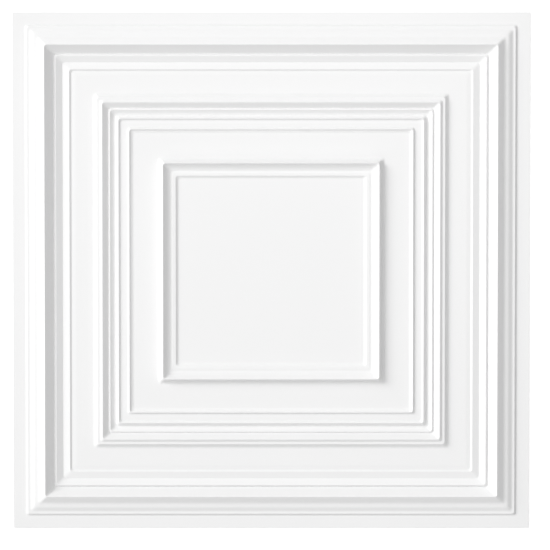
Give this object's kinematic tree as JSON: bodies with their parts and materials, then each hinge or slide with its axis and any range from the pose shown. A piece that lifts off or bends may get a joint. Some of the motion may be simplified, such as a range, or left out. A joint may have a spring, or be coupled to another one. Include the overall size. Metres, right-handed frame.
{
  "type": "ceiling tile",
  "caption": "Square lay-in ceiling tile formed from thin white plastic sheet, with nested mitred mouldings around a raised-rim centre panel and a flat edge flange that sits on the ceiling grid.",
  "frame": {"origin": "middle of the tile, on the plane of the flange's back face, which is the floor it lies on", "axes": "+Z out of the decorated room face, +X and +Y along the trimmed edges"},
  "size_m": [0.603, 0.603, 0.013],
  "materials": {
    "white_sheet": "satin white formed sheet"
  },
  "bodies": {
    "root": {"ceiling_tile": "white_sheet"}
  },
  "joints": []
}
